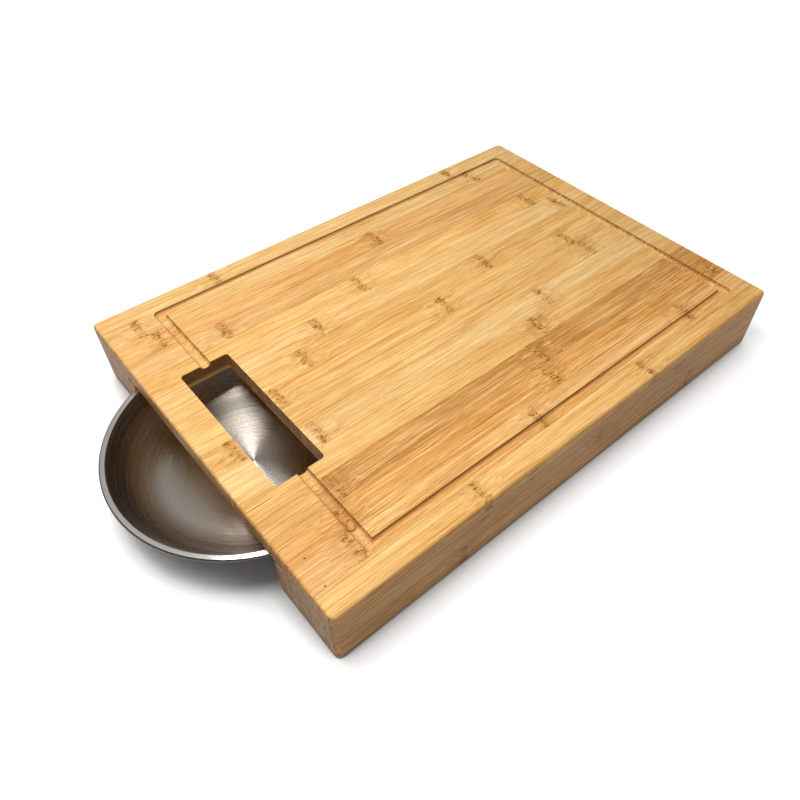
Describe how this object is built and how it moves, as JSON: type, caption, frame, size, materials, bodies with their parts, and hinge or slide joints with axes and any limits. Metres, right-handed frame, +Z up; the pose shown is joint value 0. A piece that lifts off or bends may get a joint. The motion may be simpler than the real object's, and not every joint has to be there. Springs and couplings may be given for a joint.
{
  "type": "cutting board with slide-out bowl",
  "caption": "Thick bamboo cutting board with a juice groove and a cut-out over a round steel bowl that slides out of one end.",
  "frame": {"origin": "middle of the board's flat underside, on the surface that it stands on", "axes": "+X along the board from the end where the bowl comes out to the closed end, +Y across to the far long side, +Z up"},
  "size_m": [0.5676, 0.358, 0.063],
  "materials": {
    "bamboo_deck": "oiled, sanded smooth",
    "bamboo_core": "oiled, sanded smooth",
    "bamboo_ply": "oiled, sanded smooth",
    "steel": "brushed in circles"
  },
  "bodies": {
    "board": {"bottom_end_block": "bamboo_ply", "bottom_rail_far": "bamboo_ply", "bottom_rail_near": "bamboo_ply", "core_sheet": "bamboo_core", "deck_stave_01": "bamboo_deck", "deck_stave_02": "bamboo_deck", "deck_stave_03": "bamboo_deck", "deck_stave_04": "bamboo_deck", "deck_stave_05": "bamboo_deck", "deck_stave_06_long": "bamboo_deck", "deck_stave_06_short": "bamboo_deck", "deck_stave_07_long": "bamboo_deck", "deck_stave_07_short": "bamboo_deck", "deck_stave_08_long": "bamboo_deck", "deck_stave_08_short": "bamboo_deck", "deck_stave_09_long": "bamboo_deck", "deck_stave_09_short": "bamboo_deck", "deck_stave_10_long": "bamboo_deck", "deck_stave_10_short": "bamboo_deck", "deck_stave_11": "bamboo_deck", "deck_stave_12": "bamboo_deck", "deck_stave_13": "bamboo_deck", "deck_stave_14": "bamboo_deck", "deck_stave_15": "bamboo_deck", "middle_end_block": "bamboo_ply", "middle_rail_far": "bamboo_ply", "middle_rail_near": "bamboo_ply"},
    "bowl": {"bowl": "steel"}
  },
  "joints": [
    {"name": "bowl_slide", "type": "slide", "parent": "board", "child": "bowl", "axis": [-1, 0, 0], "range_m": [-0.069, 0.16]}
  ]
}
